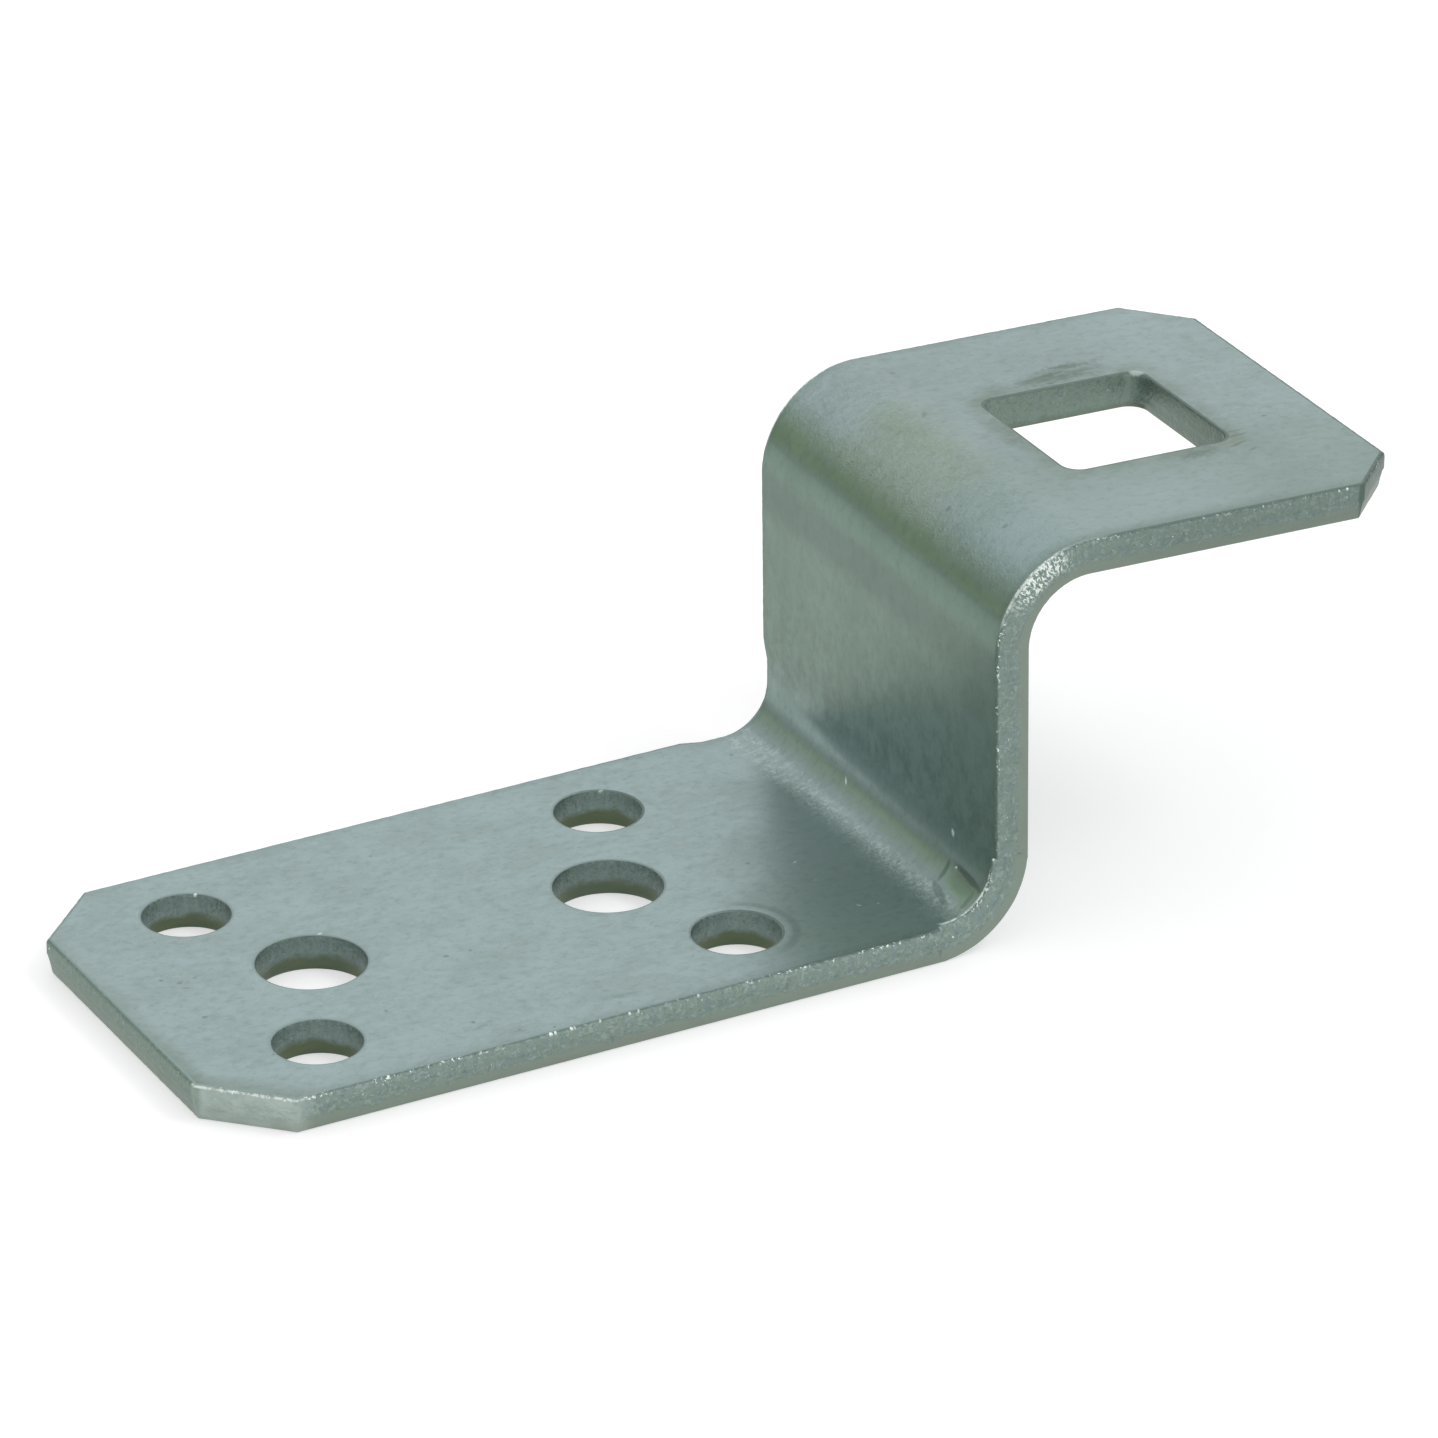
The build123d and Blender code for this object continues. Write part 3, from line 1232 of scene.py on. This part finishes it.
    def stain_rims(self) -> None:
        """Lay a brownish tint round the square hole, along the base's free end and beside its front crop."""
        off = self.vector("ABSOLUTE", self.vector("SUBTRACT", self.place, SQUARE_CENTRE))
        off_along, off_across, _ = self.add("ShaderNodeSeparateXYZ", {0: off}).outputs
        halo = self.span(self.most(off_along, off_across), 9.6, 12.4, 1.0, 0.0)
        uneven = self.span(self.cloud(0.35, 3.0, 0.6), 0.36, 0.6, 0.2, 0.6)
        self.lay(self.tones.brown, halo, uneven, self.up_side)
        by_end = self.span(self.shifted, 0.5, 2.6, 1.0, 0.0)
        self.lay(self.tones.brown, by_end, self.up_side, self.span(self.across, -14.0, 10.0, 0.45, 0.15))
        by_crop = self.span(self.plus(self.shifted, self.across), -17.0, -12.0, 1.0, 0.0)
        self.lay(self.tones.brown, by_crop, self.up_side, self.span(self.along, 6.0, 14.0, 0.4, 0.0))

    def dull_edges(self) -> None:
        """Lay small dull dashes all over, darken towards the long edges, and paint a thin rim line of shade
        in places.
        """
        dashes = self.cloud(1.1, 4.0, 0.7, (0.75, 1.0, 1.0))
        self.lay(self.tones.dusk, self.span(dashes, 0.48, 0.68, 0.0, 0.19))
        half = self.shop.sizes.width / 2
        drawn = self.span(self.math("ABSOLUTE", self.across), half - 2.0, half - 0.4, 0.0, 0.15)
        # A thin dark rim line of painted shade along parts of the front
        lined = self.most(self.pulse(self.along, 58.0, 66.0, 78.0, 80.0), self.span(self.along, 131.0, 134.0))
        front_rim = self.times(lined, self.span(self.across, 0.45 - half, 0.2 - half), 0.6)
        self.lay(self.tones.dusk, self.most(drawn, front_rim), self.up_side)

    def lay_marks(self) -> None:
        """Lay the marks that have their own places, the smudges rubbed along the strip."""
        marks = self.effect(self.shop.marks)
        rubbed = self.cloud(1.3, 4.0, 0.65, (0.25, 1.3, 1.0))
        self.lay(self.tones.soot, marks["Smudge"], self.span(rubbed, 0.38, 0.6, 0.45, 1.0))
        self.lay(self.tones.olive, marks["Olive"])
        # Painted shade at its own places
        self.lay(self.tones.dusk, marks["PaintedShade"])
        self.lay(self.tones.speck, marks["Dark"])
        # Painted highlights at their own places
        self.lay(self.tones.glint, marks["Glint"])


class CutFinish(Coat):
    """The finish of a cut: grainy metal under a painted dark rim line, smoother metal below, and painted
    glints.
    """

    def __init__(self, shop: Workshop, cut: CutTones) -> None:
        """Lay the whole finish.

        Args:
            shop: What it draws on.
            cut: The colours of the cut and how strong its dots are.
        """
        super().__init__(cut.name, shop)
        self.cut = cut
        self.depth = self.times(self.height, -1.0)
        self.strayed = self.stray(self.depth, self.cloud(0.35, 4.0, 0.6), 2.0)
        self.smooth = self.span(self.strayed, cut.turn - 0.45, cut.turn + 0.45)
        self.first_crop = self.times(
            self.pulse(self.plus(self.along, self.across), -25.0, -18.0, -17.4, -14.4),
            self.span(self.along, 8.0, 11.0, 1.0, 0.0),
            self.span(self.across, -17.0, -16.5, 1.0, 0.0),
        )
        self.lay_metal()
        self.paint_light_on_first_crop()
        self.paint_shade_on_ends()
        self.paint_shade_on_rim()
        # Painted highlights: glints along the rims, sparkles, and the glint marks high on the wall
        self.lay(self.tones.glint, self.most(*self.shining_rims(), *self.sparkles()), cut.sparkle)
        high_up = self.span(self.depth, 0.15, 0.45, 1.0, 0.0)
        self.lay(self.tones.glint, self.effect(shop.marks)["Glint"], high_up)
        grain = self.effect(shop.grain, Scale=1.9, Along=1.0)["Height"]
        lumps = self.times(grain, self.span(self.smooth, 0.0, 1.0, 1.0, 0.25))
        rough = self.span(self.smooth, 0.0, 1.0, 0.44, 0.36)
        self.finish(rough, lumps, strength=0.6, distance=0.0003)

    def lay_metal(self) -> None:
        """Lay the grainy metal, with pits, light dots and scored lines, and smooth streaky metal below."""
        blotch = self.span(self.cloud(0.8, 4.0, 0.65), 0.35, 0.62)
        self.colour = self.blend(blotch, self.cut.cool, self.cut.warm)
        self.lay(self.tones.dusk, self.span(self.cloud(2.6, 3.0, 0.6), 0.3, 0.5, 0.4, 0.0))
        self.lay(self.tones.frost_and_sheen, self.flecks(1.9, 0.36), self.cut.dots)
        scored = self.span(self.cloud(1.6, 4.0, 0.65, (1.0, 1.0, 0.12)), 0.42, 0.62)
        self.lay(self.tones.deep, scored, 1.0 - self.cut.dots, 0.35)
        drawn = self.span(self.cloud(1.1, 4.0, 0.6, (0.18, 0.18, 1.0)), 0.45, 0.65)
        self.lay(self.blend(drawn, self.cut.smooth, self.cut.foot), self.smooth)

    def paint_light_on_first_crop(self) -> None:
        """Paint a patchy pool of light on the base's front crop."""
        patchy_light = self.span(self.cloud(0.5, 4.0, 0.6), 0.35, 0.6, 0.6, 1.0)
        self.lay(self.tones.frost_and_sheen, self.first_crop, patchy_light, self.span(self.smooth, 0.0, 1.0, 1.0, 0.8))

    def paint_shade_on_ends(self) -> None:
        """Paint shade on the end of the base, on the edges from the web on, on the last crop and in the large
        holes.
        """
        self.lay(self.tones.web, self.span(self.along, 0.2, 0.8, 1.0, 0.0), 0.5)
        higher = self.span(self.along, self.foot - 4.0, self.foot + 4.0, 0.0, 0.15)
        self.lay(self.tones.dusk, self.plus(higher, self.span(self.along, 126.0, 142.0, 0.0, 0.2)))
        last_crop = self.math("SUBTRACT", self.along, self.across)
        self.lay(self.tones.dusk, self.span(last_crop, 185.9, 186.3, 0.0, 0.78))
        near_middle = self.span(self.math("ABSOLUTE", self.across), 7.0, 9.0, 0.25, 0.0)
        self.lay(self.tones.dusk, self.pulse(self.along, 10.0, 14.0, 62.0, 66.0), near_middle)

    def paint_shade_on_rim(self) -> None:
        """Paint the rim's shade as a thin uneven dark line, and give its top the tone of the skin beside it.
        """
        uneven = self.stray(self.depth, self.cloud(1.7, 3.0, 0.6), 0.2)
        rim = self.pulse(uneven, 0.0, 0.04, 0.1, 0.24)
        self.lay(self.tones.dusk, rim, self.span(self.along, 0.8, 2.5), 0.6)
        foot, head = self.foot, self.head
        on_web = self.pulse(self.along, foot - 5.0, foot - 1.5, head + 2.0, head + 5.0)
        lined = self.most(self.pulse(self.along, 58.0, 66.0, 78.0, 80.0), self.span(self.along, 130.0, 133.0))
        beside = self.blend(on_web, self.tones.deep, self.tones.web)
        beside = self.blend(self.times(lined, 0.7), beside, self.tones.dusk)
        self.lay(beside, self.span(self.depth, 0.0, 0.1, 1.0, 0.0))

    def shining_rims(self) -> list[Socket]:
        """Find where the rim shines: flecks along it, and strips at front relief, first crop and upper bend.

        Returns:
            A mask for each.
        """
        s = self.shop.sizes
        flecked = self.times(
            self.pulse(self.depth, 0.03, 0.1, 0.25, 0.45),
            self.flecks(2.6, 0.4),
            self.span(self.cloud(0.22, 2.0), 0.42, 0.56),
            self.span(self.along, 128.0, 134.0, 1.0, 0.35),
            self.span(self.along, 1.0, 3.0),
        )
        broken = self.span(self.cloud(1.1, 4.0, 0.7), 0.4, 0.56, 0.25, 1.0)
        start, end = s.lower_bend_from, s.lower_bend_to
        relief = self.times(
            self.pulse(self.along, start - 1.0, start, end - 1.6, end),
            self.pulse(self.depth, 0.01, 0.04, 0.06, 0.12),
            self.span(self.across, -15.0, -20.0),
            broken,
        )
        start, end = s.upper_bend_from, s.upper_bend_to
        on_bend = self.pulse(self.along, start + 3.0, start + 5.0, end - 6.0, end - 3.0)
        on_bend = self.times(on_bend, self.pulse(self.depth, 0.0, 0.03, 0.08, 0.18))
        on_crop = self.times(self.first_crop, self.pulse(self.depth, 0.04, 0.1, 0.2, 0.34))
        return [flecked, relief, self.times(self.most(on_crop, on_bend), broken, 0.8)]

    def sparkles(self) -> list[Socket]:
        """Find the sparkles: many on the upper bend's edge, and a few on the rest.

        Returns:
            A mask for each.
        """
        start, end = self.head, self.shop.sizes.upper_bend_to
        torn_up = self.pulse(self.along, start + 4.0, start + 9.0, end - 5.5, end - 2.0)
        thick = self.flecks(3.4, 0.12, (1.0, 1.0, 0.6))
        many = self.times(torn_up, self.span(self.strayed, 1.4, 2.4, 1.0, 0.0), thick)
        few = self.times(self.flecks(2.2, 0.85), self.span(self.strayed, 1.2, 2.4, 1.0, 0.0))
        return [many, few]


@dataclass(frozen=True)
class Viewpoint:
    """Where the photograph was taken from. Angles in degrees, places in metres, the lens in millimetres."""

    azimuth: float = -27.7305
    elevation: float = 26.8485
    roll: float = -0.6491
    target: Triple = (0.015855, -0.0265, 0.035)
    distance: float = 0.94416
    lens: float = 240.631

    def place(self) -> None:
        """Make the camera and give it to the scene."""
        az, el, roll = (math.radians(a) for a in (self.azimuth, self.elevation, self.roll))
        back = Vector((math.sin(az) * math.cos(el), -math.cos(az) * math.cos(el), math.sin(el)))
        right = Vector((0.0, 0.0, 1.0)).cross(back).normalized()
        up = back.cross(right)
        turned_right = right * math.cos(roll) + up * math.sin(roll)
        turned_up = up * math.cos(roll) - right * math.sin(roll)
        lens = bpy.data.cameras.new("viewpoint")
        lens.lens = self.lens
        lens.sensor_width = 36.0
        lens.clip_start = 0.01
        lens.clip_end = 20.0
        camera = bpy.data.objects.new("viewpoint", lens)
        turn = Matrix((turned_right, turned_up, back)).transposed().to_4x4()
        turn.translation = Vector(self.target) + back * self.distance
        camera.matrix_world = turn
        bpy.context.scene.collection.objects.link(camera)
        bpy.context.scene.camera = camera


@dataclass(frozen=True)
class Lamp:
    """A soft square lamp that faces a point of the floor."""

    name: str
    place: Triple
    size: float
    power: float
    aim: Triple = (0.03, 0.0, 0.01)

    def hang(self) -> None:
        """Hang the lamp."""
        light = bpy.data.lights.new(self.name, "AREA")
        light.shape = "SQUARE"
        light.size = self.size
        light.energy = self.power
        lamp = bpy.data.objects.new(self.name, light)
        lamp.location = self.place
        away = Vector(self.place) - Vector(self.aim)
        lamp.rotation_mode = "QUATERNION"
        lamp.rotation_quaternion = away.to_track_quat("Z", "Y")
        bpy.context.scene.collection.objects.link(lamp)


@dataclass(frozen=True)
class Studio:
    """The pale floor, the soft room light and the lamp.

    Attributes:
        floor_size: Length of the floor's sides, in metres.
        floor_tone: The floor's colour.
        floor_lift: Light that the floor adds where it is seen, so that it shows white.
        floor_drop: How far it lies below the bracket, in metres.
        bright: Level of the room's light.
        dim: Its level low down behind on the left.
        glow: What it has more behind on the right.
        toward_dim: The direction in which it is dim.
        toward_glow: The direction in which it glows.
        key: The lamp.
    """

    floor_size: float = 6.0
    floor_tone: tuple = (0.66, 0.66, 0.66, 1.0)
    floor_lift: float = 0.46
    floor_drop: float = 0.00002
    bright: float = 0.9
    dim: float = 0.3
    glow: float = 0.1
    toward_dim: Triple = (-0.61, 0.79, 0.0)
    toward_glow: Triple = (0.42, 0.79, 0.45)
    key: Lamp = Lamp("key", (0.55, -0.45, 0.95), 0.3, 1.6)

    def lay_floor(self) -> None:
        """Lay the floor just under the bracket."""
        take()
        bpy.ops.mesh.primitive_plane_add(size=self.floor_size, location=(0.0, 0.0, -self.floor_drop))
        floor = start_piece("studio_floor")
        edit(False)
        bpy.ops.object.transform_apply(location=True, rotation=False, scale=False)
        material = bpy.data.materials.new("studio_floor")
        material.use_nodes = True
        material.node_tree.nodes.clear()
        bench = NodeBench(material.node_tree)
        matt = bench.add("ShaderNodeBsdfDiffuse", {"Color": self.floor_tone}).outputs[0]
        lift = bench.add("ShaderNodeEmission", {"Color": WHITE, "Strength": self.floor_lift}).outputs[0]
        both = bench.add("ShaderNodeAddShader", {0: matt, 1: lift}).outputs[0]
        path = bench.add("ShaderNodeLightPath").outputs
        shown = bench.most(path["Is Glossy Ray"], path["Is Transmission Ray"], path["Is Camera Ray"])
        seen = bench.add("ShaderNodeMixShader", {0: shown, 1: matt, 2: both}).outputs[0]
        bench.add("ShaderNodeOutputMaterial", {"Surface": seen})
        floor.data.materials.append(material)

    def light_room(self) -> None:
        """Light the room: bright behind on the right and overhead, dim low down behind on the left."""
        world = bpy.data.worlds.new("studio")
        world.use_nodes = True
        world.node_tree.nodes.clear()
        bench = NodeBench(world.node_tree)
        toward = bench.add("ShaderNodeTexCoord").outputs["Generated"]
        rise = bench.add("ShaderNodeSeparateXYZ", {0: toward}).outputs[2]
        lean = bench.vector("DOT_PRODUCT", toward, self.toward_dim, "Value")
        near_glow = bench.vector("DOT_PRODUCT", toward, self.toward_glow, "Value")
        dim = bench.times(bench.span(lean, 0.35, 0.85), bench.span(rise, 0.14, 0.42, 1.0, 0.0))
        level = bench.span(dim, 0.0, 1.0, self.bright, self.dim)
        lit = bench.plus(level, bench.span(near_glow, 0.8, 0.98, 0.0, self.glow))
        room = bench.add("ShaderNodeBackground", {"Color": WHITE, "Strength": lit}).outputs[0]
        bench.add("ShaderNodeOutputWorld", {"Surface": room})
        bpy.context.scene.world = world

    def build(self) -> None:
        """Set up the whole studio."""
        self.lay_floor()
        self.light_room()
        self.key.hang()
        bpy.context.scene.view_settings.view_transform = "Standard"
        log.info("studio: floor %.0f m wide, one lamp", self.floor_size)


def set_out(*rows: tuple[float, float]) -> list[Ring]:
    """Return rings from their heights and how far back they are."""
    return [Ring(*row) for row in rows]


SHEARED_WALL = CutWall(
    drawn_rim=set_out((-0.55, 0.0), (-0.28, 0.04), (-0.12, 0.13), (-0.03, 0.3), (0.0, 0.5), (0.0, 0.58)),
    land_to=-1.7,
    torn_rim=set_out(
        (-1.8, 0.06), (-2.15, 0.15), (-2.55, 0.24), (-2.95, 0.32), (-3.35, 0.38), (-3.7, 0.43), (-3.9, 0.5),
        (-4.0, 0.64), (-4.0, 0.72),
    ),
)
PUNCHED_WALL = CutWall(
    drawn_rim=set_out((-0.36, 0.0), (-0.19, 0.02), (-0.08, 0.07), (-0.02, 0.17), (0.0, 0.3), (0.0, 0.38)),
    land_to=-2.0,
    torn_rim=set_out(
        (-2.12, 0.05), (-2.6, 0.12), (-3.1, 0.19), (-3.6, 0.25), (-3.9, 0.3), (-4.0, 0.38), (-4.0, 0.45)
    ),
)
RELIEFS = (
    Relief(side=-1, depth=1.1, reach=1.2, lead=0.3),
    Relief(side=1, depth=0.8, reach=4.8, lead=2.2),
)

SHEARED = CutTones(
    "sheared_edge",
    cool=tone(127, 145, 142),
    warm=tone(132, 151, 140),
    smooth=tone(133, 147, 135),
    foot=tone(133, 143, 133),
    turn=2.7,
    dots=0.4,
    sparkle=1.0,
)
PUNCHED = CutTones(
    "punched_wall",
    cool=tone(122, 142, 140),
    warm=tone(130, 149, 141),
    smooth=tone(90, 104, 80),
    foot=tone(99, 109, 83),
    turn=2.35,
    dots=0.15,
    sparkle=0.1,
)
SQUARE = CutTones(
    "square_wall",
    cool=tone(137, 157, 148),
    warm=tone(144, 163, 148),
    smooth=tone(118, 134, 116),
    foot=tone(124, 128, 108),
    turn=3.5,
    dots=0.15,
    sparkle=0.15,
)


@dataclass(frozen=True)
class HolePattern:
    """Places and sizes of the holes on the flat strip, in millimetres from its base end."""

    base_centre: float = 38.1
    small_radius: float = 4.5
    small_spacing: tuple[float, float] = (47.0, 30.5)
    large_radius: float = 5.6
    large_spacing: float = 33.6
    square_half: float = 9.5
    square_corner: float = 2.0

    def holes(self) -> list[PunchedHole]:
        """Set out the holes.

        Returns:
            The three kinds of hole.
        """
        along, across = self.small_spacing
        small = [(self.base_centre + along / 2 * i, across / 2 * j) for i in (-1, 1) for j in (-1, 1)]
        large = [(self.base_centre + self.large_spacing / 2 * i, 0.0) for i in (-1, 1)]
        square = [SQUARE_CENTRE[:2]]
        wall = PUNCHED_WALL
        return [
            PunchedHole("small_hole", small, self.small_radius, wall, "punched", segments=80),
            PunchedHole("large_hole", large, self.large_radius, wall, "punched", segments=96),
            PunchedHole("square_hole", square, self.square_half, wall, "square", 12, self.square_corner),
        ]


def main() -> None:
    """Build the studio and the bracket."""
    logging.basicConfig(level=logging.INFO, format="%(message)s")
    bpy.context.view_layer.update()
    Viewpoint().place()
    Studio().build()
    sizes = StripSizes()
    shop = Workshop(sizes, ZincTones())
    finishes = {
        "skin": ZincSkin(shop).material,
        "sheared": CutFinish(shop, SHEARED).material,
        "punched": CutFinish(shop, PUNCHED).material,
        "square": CutFinish(shop, SQUARE).material,
    }
    FoldedStrip(sizes, SHEARED_WALL, RELIEFS, HolePattern().holes()).build(finishes)


if __name__ == "__main__":
    main()
